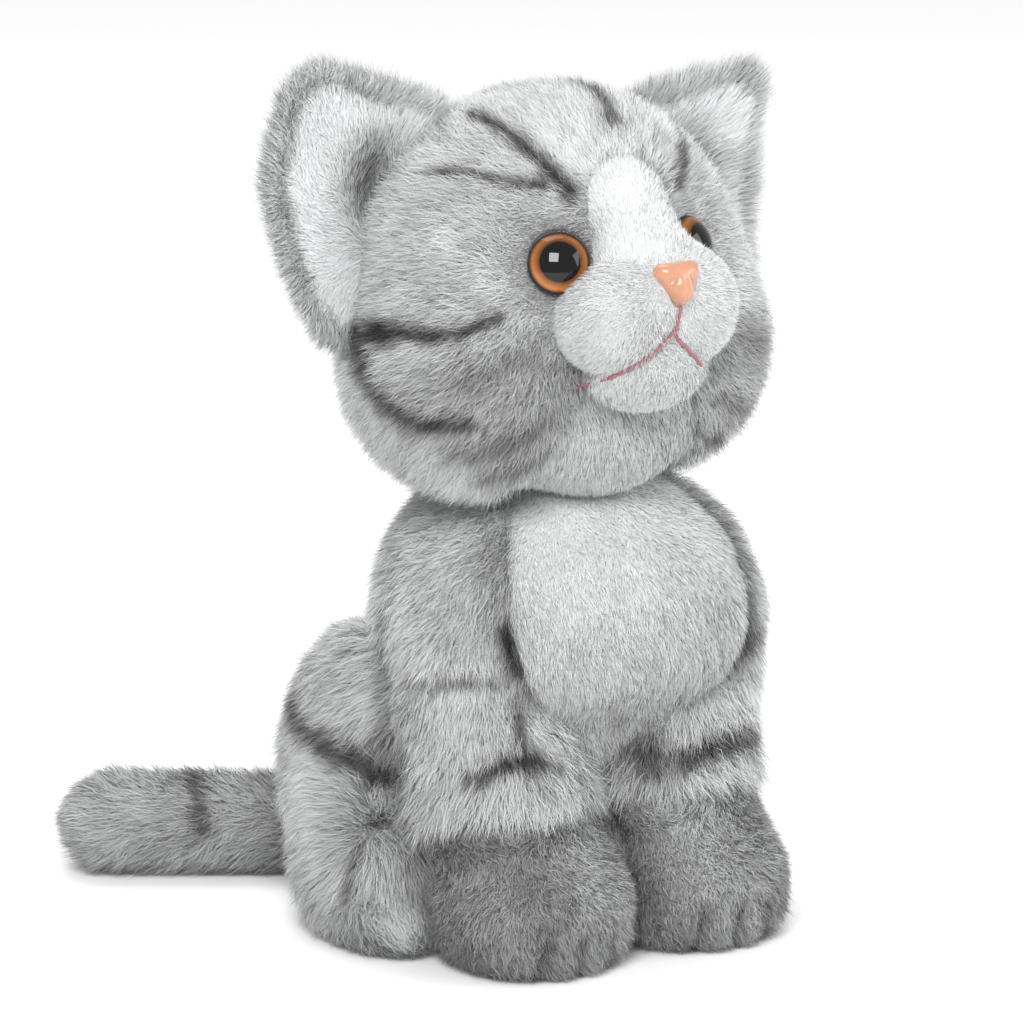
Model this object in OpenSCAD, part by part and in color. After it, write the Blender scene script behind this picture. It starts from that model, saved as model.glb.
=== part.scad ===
// Sitting plush cat, in millimetres. +Z is up, the cat looks along -Y and its left side is +X.
// The origin is on the seat panel, below the neck, on the surface that the toy sits on.

/* [Head] */
// Height of the middle of the head above the seat
head_z = 164; // [160:1:170]
// Half width of the skull
skull_w = 46; // [43:1:48]
// How far the face is tipped up, in degrees
head_pitch = 15; // [8:1:18]
// How far the head sits to the cat's right of the middle
head_shift = 3; // [0:0.5:5]
// Diameter of an eye
eye_d = 15; // [12:0.5:16]
// Distance of each eye from the middle of the face
eye_x = 18.6; // [18:0.1:20]
// How far the face sits to the cat's right of the middle of the head
face_shift = 1.6; // [0:0.1:2]

/* [Ears] */
// Thickness of each layer of an ear
ear_t = 2.4; // [1.8:0.1:2.8]
// Height by which the right ear is carried over the left, as a tilt in degrees
ear_tilt = 5; // [0:1:6]

/* [Body] */
// Half width of the chest
chest_w = 47; // [45:1:49]
// Radius of the ball that the neck turns on
neck_r = 36; // [34:1:37]
// Height of the middle of that ball
neck_z = 87; // [85:1:89]

/* [Legs] */
// Distance of each shoulder from the middle
shoulder_x = 28; // [27:0.5:30]
// Height of the shoulder's turning point
shoulder_z = 78; // [74:1:82]
// Radius of a foreleg under its fur
leg_r = 17.5; // [16:0.5:18.5]
// Distance of each forepaw from the middle
paw_x = 24; // [23:0.5:27]
// How far both forepaws stand to the cat's left of the middle
paw_shift = 2.5; // [0:0.5:3]

/* [Tail] */
// Radius of the tail under its fur
tail_r = 10.5; // [9:0.5:11]
// Length of the tail from its root to its tip
tail_len = 82; // [75:1:90]
// Direction of the tail, in degrees from straight back towards the cat's right
tail_turn = 59; // [50:1:62]

/* [Cloth] */
// Thickness of the backing cloth
skin_t = 1.4; // [1.2:0.1:1.8]
// Diameter of the embroidery thread
thread_d = 1.1; // [0.8:0.1:1.4]

/* [Hidden] */

fur_grey = [0.72, 0.72, 0.74];
paw_grey = [0.58, 0.58, 0.6];
plush_white = [0.93, 0.93, 0.93];
fill_white = [0.96, 0.96, 0.92];
iris_amber = [0.78, 0.47, 0.2];
part_black = [0.05, 0.05, 0.05];
nose_peach = [0.94, 0.65, 0.49];
thread_pink = [0.8, 0.45, 0.5];
pouch_blue = [0.55, 0.62, 0.72];

LEFT = 1;
RIGHT = -1;
gap = 0.15;                          // between pieces that lie against each other
joint_gap = 0.5;                     // between pieces on different bodies
fill_in = skin_t + gap;              // depth of the stuffing under the outside of the skin
thread_gap = 0.05;                   // between a thread and the cloth that it lies on
thread_out = 0.6;                    // how far a thread stands out of the cloth
seam_gap = 0.1;                      // width of the cut down the middle seams
far = 200;                           // longer than any part
shell_fn = 22;                       // facets round a rounded cloth shape
small_fn = 16;                       // facets round a small rounded shape
limb_fn = 16;                        // facets round a limb
round_fn = 48;                       // facets round a turned part

head_pos = [-head_shift, 8, head_z];
neck_pos = [-head_shift / 2, 8, neck_z];
neck_fill_t = 4;                     // thickness of the neck's stuffing
neck_top_r = neck_r + joint_gap + neck_fill_t + joint_gap;
seat_pos = [0, 20, 0];
seat_r = 27.5;
pouch_pos = seat_pos + [0, 9, 17];
tail_root = [4, 69, tail_r];
shoulder_y = -3;
leg_swing = [-15, 2];                // range of the forelegs, backwards last
shank_d = 4.8;
shank_len = 14;
washer_t = 1.2;
ear_cup = [45, -56, 22];             // centre of the ball that an ear is cupped round, on the left
ear_cup_r = 70;
pouch_t = 0.6;                       // thickness of the pellet pouch's cloth
toe_x = [-8, 0, 8];                  // the toe lines, from the middle of a paw
eye_dome_r = eye_d * 0.66;           // radius of the dome's curve
eye_dome_h = 5.5;
eye_in = 1.2;                        // depth of an eye's rim in the fabric
eye_washer_d = 12;
nose_washer_d = 10;
nose_washer_z = -6;                  // depth of the nose's washer behind its back

// A ball stretched to the half sizes s about c, grown by off
module ball(c, s, off = 0, fn = shell_fn) {
    translate(c) scale([s.x + off, s.y + off, s.z + off]) sphere(1, $fn = fn);
}

// Everything above the surface that the toy sits on, raised by off
module above(off = 0) {
    translate([-far, -far, off]) cube([2 * far, 2 * far, 2 * far]);
}

// Makes one closed mesh of a cut cloth shape
module cloth() {
    resize([0, 0, 0]) children();
}

// Places children that are drawn about the middle of the head, tipped up with the face
module in_head() {
    translate(head_pos) rotate([-head_pitch, 0, 0]) children();
}

// Places children that are drawn about the middle of the face
module in_face() {
    in_head() translate([-face_shift, 0, 0]) children();
}

/* ---- Head ---- */

module head_solid(off = 0) {
    in_head() hull() {
        ball([0, 0, 1], [skull_w, 43, 45], off);
        ball([0, -16, 18], [24, 28, 24], off);
        for (side = [LEFT, RIGHT]) ball([side * 20, -1, -15], [29, 33, 29], off);
    }
}

// The ball-shaped hollow under the head that the neck fills
module neck_room() {
    translate(neck_pos) sphere(neck_top_r, $fn = round_fn);
}

module bridge_solid(off = 0) {
    in_face() hull() {
        ball([0, -33, 28], [11.5, 11.5, 11.5], off, small_fn);
        ball([0, -45, 2], [11.5, 11.5, 11.5], off, small_fn);
    }
}

module muzzle_solid(off = 0) {
    in_face() hull() {
        for (side = [LEFT, RIGHT]) ball([side * 9.5, -43, -12], [12, 13, 12.5], off, small_fn);
        ball([0, -49, -6], [11, 10, 9], off, small_fn);
    }
}

module chin_solid(off = 0) {
    in_face() ball([0, -38, -24], [15, 12, 8.5], off, small_fn);
}

module throat_region() {
    in_head() translate([-14, -far, -far]) cube([28, far, far - 22]);
}

module forehead_region() {
    in_head() translate([-16, -far, 22]) cube([32, far + 12, far]);
}

// The middle of the back of the head, which starts overlap early where it only cuts
module head_back_region(overlap = 0) {
    in_head() translate([-16, 12 - overlap, -far]) cube([32, far, 2 * far]);
}

// The space of both eyes, their shanks and their washers
module eye_rooms() {
    for (side = [LEFT, RIGHT]) at_eye(side) {
        translate([0, 0, -far / 8]) cylinder(h = far / 8, d = shank_d + 2 * gap, $fn = 24);
        translate([0, 0, -5.5]) cylinder(h = 3, d = eye_washer_d + 1, $fn = 24);
        translate([0, 0, -eye_in - gap]) cylinder(h = 10, d = eye_d + 2 * gap, $fn = round_fn);
    }
}

// The hole for the nose's shank
module nose_hole() {
    at_nose() translate([0, 0, -14]) cylinder(h = 20, d = shank_d + 2 * gap, $fn = 24);
}

// The space of the nose's shank and washer in the stuffing
module nose_room() {
    nose_hole();
    at_nose() translate([0, 0, nose_washer_z - 0.5]) cylinder(h = 2.2, d = 11, $fn = 24);
}

module head_shell() {
    difference() {
        head_solid();
        head_solid(-skin_t);
        neck_room();
        muzzle_solid(-skin_t);
        chin_solid(-skin_t);
        bridge_solid(gap);
        eye_rooms();
    }
}

module head_side(side) {
    color(fur_grey) cloth() difference() {
        head_shell();
        throat_region();
        forehead_region();
        head_back_region(overlap = 1);
        muzzle_solid(gap);
        chin_solid(gap);
        translate([side * -far / 2 - head_shift, 0, head_z])
            cube([far + seam_gap, 2 * far, 2 * far], center = true);
    }
}

module forehead_panel() {
    color(plush_white) cloth() intersection() {
        head_shell();
        forehead_region();
    }
}

module head_back_panel() {
    color(fur_grey) cloth() intersection() {
        head_shell();
        head_back_region();
    }
}

module throat_panel() {
    color(plush_white) cloth() difference() {
        intersection() {
            head_shell();
            throat_region();
        }
        muzzle_solid(gap);
        chin_solid(gap);
    }
}

module nose_bridge() {
    color(plush_white) cloth() difference() {
        bridge_solid();
        head_solid(-fill_in);
        muzzle_solid(gap);
        nose_room();
        eye_rooms();
    }
}

module muzzle_skin() {
    color(plush_white) cloth() difference() {
        muzzle_solid();
        muzzle_solid(-skin_t);
        head_solid(gap);
        chin_solid(gap);
        nose_hole();
        eye_rooms();
    }
}

module chin_skin() {
    color(plush_white) cloth() difference() {
        chin_solid();
        chin_solid(-skin_t);
        head_solid(gap);
    }
}

module muzzle_stuffing() {
    color(fill_white) cloth() difference() {
        muzzle_solid(-fill_in);
        head_solid(gap);
        chin_solid(gap);
        nose_room();
        eye_rooms();
    }
}

module head_stuffing() {
    color(fill_white) cloth() difference() {
        head_solid(-fill_in);
        neck_room();
        eye_rooms();
        nose_room();
    }
}

/* ---- Eyes, nose and mouth ---- */

// Places children on an eye's rim, with +Z looking out of the eye
module at_eye(side) {
    in_face() translate([side * eye_x, -37.9, 3.2]) rotate([90, 0, side * 25]) rotate([-6, 0, 0])
        children();
}

module eye_dome(side) {
    color(iris_amber) at_eye(side) rotate_extrude($fn = round_fn) intersection() {
        translate([0, eye_dome_h - eye_dome_r]) circle(eye_dome_r, $fn = 64);
        translate([0, 0.1]) square([eye_d / 2, eye_d]);
    }
}

module eye_back(side) {
    color(part_black) at_eye(side) {
        translate([0, 0, -eye_in]) cylinder(h = eye_in, d = eye_d, $fn = round_fn);
        translate([0, 0, -shank_len]) cylinder(h = shank_len - eye_in / 2, d = shank_d, $fn = 24);
    }
}

module lock_washer(d) {
    difference() {
        cylinder(h = washer_t, d = d, $fn = 32);
        translate([0, 0, -1]) cylinder(h = 4, d = shank_d + 0.1, $fn = 24);
    }
}

module eye_washer(side) {
    color("white") at_eye(side) translate([0, 0, -5]) lock_washer(eye_washer_d);
}

// Places children on the nose's back, with +Z looking out of the face
module at_nose() {
    in_face() translate([0, -57, -4.5]) rotate([90 - 18, 0, 0]) children();
}

module nose_outline(grow = 0) {
    offset(r = 2 + grow) polygon([[-4.6, 3], [4.6, 3], [0, -3.4]]);
}

// The moulded nose, whose back follows the muzzle, and its shank
module nose() {
    color(nose_peach) {
        cloth() difference() {
            at_nose() hull() {
                translate([0, 0, -3]) linear_extrude(4.6) nose_outline($fn = 24);
                translate([0, 0, 2]) linear_extrude(1.4) nose_outline(-1.4, $fn = 24);
            }
            muzzle_solid(gap);
            bridge_solid(gap);
        }
        at_nose() translate([0, 0, -13]) cylinder(h = 15, d = shank_d, $fn = 24);
    }
}

module nose_washer() {
    color("white") at_nose() translate([0, 0, nose_washer_z]) lock_washer(nose_washer_d);
}

// A stroke of thread, seen from the front, through a list of points
module stroke(points) {
    for (i = [1 : len(points) - 1]) hull() {
        translate(points[i - 1]) circle(d = thread_d, $fn = 12);
        translate(points[i]) circle(d = thread_d, $fn = 12);
    }
}

// The mouth: a short line under the nose that parts into two
module mouth_stitch() {
    mouth_y = -17.5;
    color(thread_pink) cloth() difference() {
        intersection() {
            muzzle_solid(thread_out);
            in_face() rotate([90, 0, 0]) linear_extrude(far) {
                stroke([[0, -11.5], [0, mouth_y]]);
                for (side = [LEFT, RIGHT])
                    stroke([for (t = [0 : 0.25 : 1]) [side * 18 * t, mouth_y - 7 * sin(100 * t)]]);
            }
        }
        muzzle_solid(thread_gap);
        head_solid(thread_gap);
        chin_solid(thread_gap);
    }
}

/* ---- Ears ---- */

// Places children about the middle of the head and tilts the pair of ears
module in_ears() {
    translate(head_pos) rotate([0, ear_tilt, 0]) children();
}

// An ear's outline, seen from the front, pulled in by inset
module ear_outline(side, inset = 0) {
    mirror([side == LEFT ? 0 : 1, 0]) hull() {
        translate([33, 33]) circle(9 - inset, $fn = 24);
        translate([61, 42]) circle(7 - inset / 2, $fn = 24);
        translate([58, 25]) circle(12.5 - inset, $fn = 36);
        translate([46, 0]) circle(9 - inset, $fn = 24);
    }
}

// One cupped layer of an ear, between two radii about a point in front of the ear
module ear_layer(side, inner_r, outer_r, inset) {
    ear_room = 3;                    // keeps the ear's root clear of the head as it folds
    color(inset > 0 ? plush_white : fur_grey) cloth() difference() {
        in_ears() intersection() {
            rotate([90, 0, 0]) translate([0, 0, -30]) linear_extrude(50) ear_outline(side, inset);
            translate([side * ear_cup.x, ear_cup.y, ear_cup.z]) difference() {
                sphere(outer_r, $fn = 110);
                sphere(inner_r, $fn = 110);
            }
        }
        head_solid(ear_room);
    }
}

module ear_back(side) {
    ear_layer(side, ear_cup_r + gap, ear_cup_r + ear_t, 0);
}

module ear_lining(side) {
    ear_layer(side, ear_cup_r - ear_t, ear_cup_r, 5);
}

/* ---- Neck ---- */

module neck_stuffing() {
    color(fill_white) translate(neck_pos) rotate_extrude($fn = round_fn) intersection() {
        difference() {
            circle(neck_top_r - joint_gap, $fn = 96);
            circle(neck_r + joint_gap, $fn = 96);
        }
        polygon([[0, 0], [0, far], [far * tan(42), far]]);
    }
}

/* ---- Body ---- */

module body_hull(off = 0) {
    hull() {
        ball([0, 18, 28], [40, 40, 40], off);
        ball([0, 4, 80], [chest_w, 41, 30], off);
        ball([0, 5, 92], [chest_w - 4, 39, 23], off);
        ball([0, 38, 22], [26, 20, 24], off, small_fn);
        translate(neck_pos) sphere(neck_r + off, $fn = shell_fn);
    }
}

// The outline of the white chest panel, seen from the front
module bib_outline() {
    hull() {
        translate([0, 101]) circle(26, $fn = 36);
        translate([0, 84]) circle(34, $fn = 48);
        translate([0, 50]) circle(11, $fn = 24);
    }
    hull() for (z = [4, 50]) translate([paw_shift, z]) circle(18.5, $fn = 24);
}

module bib_region() {
    rotate([90, 0, 0]) linear_extrude(far) bib_outline();
}

// The seat panel's outline, which keeps clear of both forepaws
module seat_outline() {
    difference() {
        translate([seat_pos.x, seat_pos.y]) circle(seat_r, $fn = 64);
        for (side = [LEFT, RIGHT]) translate([paw_mid(side), -8]) circle(21, $fn = 48);
    }
}

// The body above its flat seat, without the part round the seat panel
module body_wall() {
    difference() {
        intersection() {
            body_hull();
            above();
        }
        body_hull(-skin_t);
        for (side = [LEFT, RIGHT]) leg_room(side);
        translate([0, 0, -1]) linear_extrude(skin_t + 1 + gap) offset(gap, $fn = 64) seat_outline();
    }
}

module body_side(side) {
    color(fur_grey) cloth() difference() {
        body_wall();
        bib_region();
        translate([side * -far, 0, 0]) cube([2 * far + seam_gap, 2 * far, 2 * far], center = true);
    }
}

module bib() {
    color(plush_white) cloth() intersection() {
        body_wall();
        bib_region();
    }
}

module seat_panel() {
    color(fur_grey) linear_extrude(skin_t) seat_outline();
}

module body_stuffing() {
    color(fill_white) cloth() difference() {
        intersection() {
            body_hull(-fill_in);
            above(fill_in);
        }
        pouch_solid(gap);
        translate([pouch_pos.x, pouch_pos.y, 0]) cylinder(h = pouch_pos.z, r = 10, $fn = 24);
        for (side = [LEFT, RIGHT]) leg_room(side);
    }
}

module pouch_solid(off = 0) {
    ball(pouch_pos, [24, 19, 12], off, small_fn);
}

module pellet_pouch() {
    color(pouch_blue) cloth() difference() {
        pouch_solid();
        pouch_solid(-pouch_t);
        translate(pouch_pos) cylinder(h = far, r = 3, $fn = 16);
    }
}

module pellet_fill() {
    color("ivory") cloth() pouch_solid(-pouch_t - gap);
}

// Ladder stitches across the seam down the middle of the back
module closing_stitch() {
    color("silver") cloth() difference() {
        intersection() {
            body_hull(0.8);
            for (z = [58 : 3 : 82]) translate([-2, 0, z]) cube([4, far, thread_d * 0.6]);
        }
        body_hull(thread_gap);
    }
}

/* ---- Hind legs ---- */

module haunch_solid(side, off = 0) {
    intersection() {
        hull() {
            ball([side * 39, 26, 39], [16, 33, 38], off, limb_fn);
            ball([side * 41, 26, 13], [14, 20, 14], off, limb_fn);
        }
        above(-min(off, 0));
    }
}

module foot_solid(side, off = 0) {
    intersection() {
        ball([side * 45, 17, 9], [11, 16, 10], off, small_fn);
        above(-min(off, 0));
    }
}

module haunch_skin(side) {
    color(fur_grey) cloth() difference() {
        haunch_solid(side);
        haunch_solid(side, -skin_t);
        body_hull(gap);
        leg_room(side);
    }
}

module haunch_stuffing(side) {
    color(fill_white) cloth() difference() {
        haunch_solid(side, -fill_in);
        body_hull(gap);
        leg_room(side);
    }
}

module hindfoot(side) {
    color(paw_grey) cloth() difference() {
        foot_solid(side);
        haunch_solid(side, gap);
        body_hull(gap);
        leg_room(side);
    }
}

/* ---- Forelegs ---- */

function shoulder(side) = [side * shoulder_x + paw_shift / 2, shoulder_y, shoulder_z];
function paw_mid(side) = side * paw_x + paw_shift;

module leg_solid(side, off = 0) {
    hull() {
        ball(shoulder(side), [leg_r, leg_r, leg_r], off, limb_fn);
        ball([paw_mid(side) + side, -9, 36], [leg_r + 0.5, leg_r + 0.5, 14], off, limb_fn);
    }
}

module paw_solid(side, off = 0) {
    intersection() {
        hull() {
            ball([paw_mid(side), -8, 16], [18, 17, 17], off, limb_fn);
            ball([paw_mid(side), -18, 13], [19, 16, 13.5], off, limb_fn);
        }
        above(-min(off, 0));
    }
}

// The space that a foreleg needs over its whole swing
module leg_room(side) {
    hull() for (angle = [leg_swing[0], 0, leg_swing[1]])
        translate(shoulder(side)) rotate([angle, 0, 0]) translate(-shoulder(side))
            leg_solid(side, joint_gap);
    hull() for (angle = [leg_swing[0], 0, leg_swing[1]])
        translate(shoulder(side)) rotate([angle, 0, 0]) translate(-shoulder(side))
            paw_solid(side, joint_gap);
}

module foreleg_skin(side) {
    color(fur_grey) cloth() difference() {
        leg_solid(side);
        leg_solid(side, -skin_t);
        paw_solid(side, gap);
    }
}

module forepaw_skin(side) {
    color(paw_grey) cloth() difference() {
        paw_solid(side);
        paw_solid(side, -skin_t);
        leg_solid(side, -skin_t);
    }
}

module foreleg_stuffing(side) {
    color(fill_white) cloth() union() {
        leg_solid(side, -fill_in);
        paw_solid(side, -fill_in);
    }
}

// Stitched lines between the toes
module toe_stitches(side) {
    color(part_black) cloth() difference() {
        intersection() {
            paw_solid(side, thread_out);
            for (x = toe_x)
                translate([paw_mid(side) + x - thread_d / 2, -far - 24, 4]) cube([thread_d, far, 12]);
        }
        paw_solid(side, thread_gap);
    }
}

/* ---- Tail ---- */

tail_tip = [
    tail_root.x - tail_len * sin(tail_turn),
    tail_root.y + tail_len * cos(tail_turn),
    tail_root.z + 2
];

module tail_solid(off = 0) {
    intersection() {
        hull() {
            ball(tail_root, [tail_r, tail_r, tail_r], off, limb_fn);
            ball(tail_tip, [tail_r, tail_r, tail_r], off, limb_fn);
        }
        above(-min(off, 0));
    }
}

// The tail's cloth, open at the root where the stuffing went in
module tail_skin() {
    color(fur_grey) cloth() difference() {
        tail_solid();
        tail_solid(-skin_t);
        translate(tail_root) rotate([-90, 0, tail_turn + 180]) cylinder(h = far, r = 5, $fn = 24);
    }
}

module tail_stuffing() {
    color(fill_white) cloth() tail_solid(-fill_in);
}

head_side(LEFT);  // head_side_left
head_side(RIGHT);  // head_side_right
forehead_panel();
head_back_panel();
throat_panel();
nose_bridge();
muzzle_skin();
chin_skin();
muzzle_stuffing();
head_stuffing();
eye_dome(LEFT);  // eye_dome_left
eye_dome(RIGHT);  // eye_dome_right
eye_back(LEFT);  // eye_back_left
eye_back(RIGHT);  // eye_back_right
eye_washer(LEFT);  // eye_washer_left
eye_washer(RIGHT);  // eye_washer_right
nose();
nose_washer();
mouth_stitch();
ear_back(LEFT);  // ear_back_left
ear_back(RIGHT);  // ear_back_right
ear_lining(LEFT);  // ear_lining_left
ear_lining(RIGHT);  // ear_lining_right
neck_stuffing();
body_side(LEFT);  // body_side_left
body_side(RIGHT);  // body_side_right
bib();
seat_panel();
body_stuffing();
pellet_pouch();
pellet_fill();
closing_stitch();
haunch_skin(LEFT);  // haunch_skin_left
haunch_skin(RIGHT);  // haunch_skin_right
haunch_stuffing(LEFT);  // haunch_stuffing_left
haunch_stuffing(RIGHT);  // haunch_stuffing_right
hindfoot(LEFT);  // hindfoot_left
hindfoot(RIGHT);  // hindfoot_right
foreleg_skin(LEFT);  // foreleg_skin_left
foreleg_skin(RIGHT);  // foreleg_skin_right
forepaw_skin(LEFT);  // forepaw_skin_left
forepaw_skin(RIGHT);  // forepaw_skin_right
foreleg_stuffing(LEFT);  // foreleg_stuffing_left
foreleg_stuffing(RIGHT);  // foreleg_stuffing_right
toe_stitches(LEFT);  // toe_stitches_left
toe_stitches(RIGHT);  // toe_stitches_right
tail_skin();
tail_stuffing();
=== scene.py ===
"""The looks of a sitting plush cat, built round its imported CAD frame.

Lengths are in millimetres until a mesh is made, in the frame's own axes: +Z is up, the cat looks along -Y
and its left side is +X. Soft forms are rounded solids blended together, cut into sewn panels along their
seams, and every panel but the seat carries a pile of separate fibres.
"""

import math

import bpy
import numpy as np
from mathutils import Euler, Matrix, Vector
from mathutils.kdtree import KDTree


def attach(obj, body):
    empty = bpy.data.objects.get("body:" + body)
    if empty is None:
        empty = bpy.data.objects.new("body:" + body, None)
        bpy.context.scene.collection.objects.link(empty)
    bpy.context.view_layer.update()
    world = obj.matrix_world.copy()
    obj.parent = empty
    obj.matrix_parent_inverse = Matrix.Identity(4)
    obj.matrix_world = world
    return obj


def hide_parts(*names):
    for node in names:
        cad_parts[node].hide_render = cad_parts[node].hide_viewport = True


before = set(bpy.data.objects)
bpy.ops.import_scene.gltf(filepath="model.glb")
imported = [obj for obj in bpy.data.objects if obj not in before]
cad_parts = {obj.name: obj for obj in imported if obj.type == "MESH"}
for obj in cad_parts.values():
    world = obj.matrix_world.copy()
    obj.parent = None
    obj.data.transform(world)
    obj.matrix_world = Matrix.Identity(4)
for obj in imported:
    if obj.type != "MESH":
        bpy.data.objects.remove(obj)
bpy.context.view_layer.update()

MM = 0.001
LEFT, RIGHT = 1, -1
SIDES = {LEFT: "left", RIGHT: "right"}
DOWN = np.array([0.0, 0.0, -1.0])
TAU = 2 * math.pi

# ---- Places and sizes, most of them as in part.scad ----
HEAD_POS = np.array([-3.0, 8.0, 164.0])
HEAD_PITCH = math.radians(15)
NECK_POS = np.array([-1.5, 8.0, 87.0])
NECK_R = 36.0
NECK_ROOM_R = 38.0
NECK_CAP_R = 39.5
EYE_D = 15.0
FACE_SHIFT = np.array([-1.6, 0.0, 0.0])
# A little deeper and lower than in the CAD
EYE_POS = np.array([18.6, -37.2, 2.2])
NOSE_X, NOSE_Z = -0.5, -6.0
EAR_TILT = math.radians(5)
# Centre of the round cup that both ears follow, as (across, back, up), and its radii at the lining's front,
# at the seam between lining and back, and behind the ear
EAR_CUP = (45, -56, 22)
EAR_FRONT_R, EAR_SEAM_R, EAR_BACK_R = 67.6, 70, 72.4
PAW_SHIFT = 2.5
TOE_X = (-9, 0, 9)
TAIL_ROOT = np.array([4.0, 69.0, 10.5])
TAIL_TIP = np.array([-66.3, 111.2, 12.5])
TAIL_R = 10.5


# ---- Rounded solids, as distances that are negative inside ----


def length(v):
    return np.sqrt((v * v).sum(-1))


def unit(v):
    return v / np.maximum(length(v), 1e-9)[..., None]


def dot(a, b):
    return (a * b).sum(-1)


def ball(p, centre, half):
    """Distance to a ball stretched to the half sizes half."""
    q = (p - np.array(centre)) / np.array(half)
    k0 = length(q)
    return k0 * (k0 - 1) / np.maximum(length(q / np.array(half)), 1e-9)


def rod(p, start, end, r_start, r_end):
    """Distance to a round-ended rod whose radius changes from its start to its end."""
    start, end = np.array(start, float), np.array(end, float)
    t = np.clip((p - start) @ (end - start) / dot(end - start, end - start), 0, 1)
    return length(p - start - t[:, None] * (end - start)) - (r_start + (r_end - r_start) * t)


def join(a, b, k):
    """The union of two solids with a soft valley k wide between them."""
    h = np.maximum(k - abs(a - b), 0) / k
    return np.minimum(a, b) - h * h * k / 4


def meet(a, b, k):
    """The overlap of two solids with a soft edge k wide."""
    return -join(-a, -b, k)


def bell(*away):
    """1 where every distance is 0, falling softly to 0 by about 2."""
    return np.exp(-sum(x**2 for x in away))


def dent(p, centre, depth, size):
    """A soft hollow, added to a distance."""
    return depth * bell(length(p - np.array(centre)) / size)


def step(low, high, x):
    """0 below low and 1 above high, with a smooth rise between them."""
    t = np.clip((x - low) / (high - low), 0, 1)
    return t * t * (3 - 2 * t)


def ripple(p, size, seed):
    """A smooth random number from about -1 to 1 at each point, with hills about size apart."""
    rng = np.random.default_rng(seed)
    waves = rng.normal(size=(12, 3)) * (2.4 / size)
    return np.sin(p @ waves.T + rng.random(12) * TAU).sum(1) * 0.33


def to_head(p):
    """Points in the head's own upright frame."""
    x, y, z = (p - HEAD_POS).T
    c, s = math.cos(HEAD_PITCH), math.sin(HEAD_PITCH)
    return np.stack([x, y * c - z * s, y * s + z * c], 1)


def from_head(q):
    x, y, z = q.T
    c, s = math.cos(HEAD_PITCH), math.sin(HEAD_PITCH)
    return np.stack([x, y * c + z * s, z * c - y * s], 1) + HEAD_POS


def skull(q):
    d = ball(q, (0, 0, 1), (46, 43, 45))
    d = join(d, ball(q, (0, -16, 18), (24, 27, 24)), 8)
    for side in SIDES:
        d = join(d, ball(q, (side * 21.3 - 1.2, -1, -17), (31.3, 33.5, 31.5)), 8)
    return join(d, ball(q, (0, -11, -36), (24, 20, 17)), 5)


def muzzle(q):
    f = q - FACE_SHIFT
    pads = [ball(f, (side * 10.2, -43.5, -12 + side), (13, 13.6, 13.2 + side)) for side in SIDES]
    return join(join(*pads, 4), ball(f, (0, -48, -6.5), (11, 9.5, 9)), 5)


def chin(q):
    return ball(q - FACE_SHIFT, (0, -39.5, -25), (15.5, 12.5, 9.8))


def bridge(q):
    return rod(q - FACE_SHIFT, (0, -39.3, 14.5), (0, -44.5, 1), 10.3, 11)


def face(q):
    """The head with its muzzle, in the head's own frame."""
    d = skull(q)
    for side in SIDES:
        socket = FACE_SHIFT + EYE_POS * [side, 1, 1] + [side * 0.5, -2, 1]
        d = d + dent(q, socket, 3.0, 9)
    d = join(d, join(muzzle(q), bridge(q), 7), 1.6)
    return join(d, chin(q), 1.5)


def torso(p):
    d = ball(p, (0, 18, 28), (40, 40, 40))
    d = join(d, ball(p, (0, 12, 55), (42, 39, 30)), 10)
    d = join(d, ball(p, (0, 4, 80), (47, 41, 30)), 8)
    d = join(d, ball(p, (0, 5, 92), (43, 39, 23)), 6)
    d = join(d, ball(p, (0, 38, 22), (26, 20, 24)), 10)
    d = join(d, length(p - NECK_POS) - NECK_R, 6) + dent(p, (-1, -27, 44), 12, 18)
    return meet(d, -p[:, 2], 4)


def shoulder(side):
    return np.array([side * 32 - 0.5, -3, 78])


def paw_mid(side):
    return side * 22.8 + 1.4


def leg_end(side):
    """The middle of the foreleg's lower end, which stands to the right of its paw."""
    return np.array([paw_mid(side) - 5.5, -9, 38])


def toe_grooves(p, side):
    """The pulled-in lines between the toes."""
    front = step(-24, -31, p[:, 1]), step(15, 9, p[:, 2])
    return sum(bell((p[:, 0] - paw_mid(side) - x) / 1.7) * front[0] * front[1] for x in TOE_X)


def leg_part(p, side):
    return rod(p, shoulder(side), leg_end(side), 16.5, 20)


def paw_part(p, side):
    x = paw_mid(side)
    d = join(ball(p, (x, -8, 20), (22, 20, 24)), ball(p, (x, -18, 14), (22, 18.5, 16)), 7)
    return d + toe_grooves(p, side)


def foreleg(p, side):
    return meet(join(leg_part(p, side), paw_part(p, side), 5), -p[:, 2], 3)


def haunch(p, side):
    d = join(ball(p, (side * 39, 26, 39), (16, 33, 38)), ball(p, (side * 41, 26, 13), (14, 20, 14)), 10)
    return meet(d, -p[:, 2], 3)


def hind_foot(p, side):
    return meet(ball(p, (side * 45, 17, 9), (11, 16, 10)), -p[:, 2], 3)


def legs(p):
    """Distance to the nearest foreleg or haunch."""
    return np.min([form(p, side) for form in (foreleg, haunch) for side in SIDES], axis=0)


def trunk(p):
    """Distance to whichever grey form of the body is nearest."""
    return np.minimum(torso(p), legs(p))


def tail(p):
    return meet(rod(p, TAIL_ROOT, TAIL_TIP, TAIL_R, TAIL_R), -p[:, 2], 3)


# ---- Surfaces and panels ----


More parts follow.
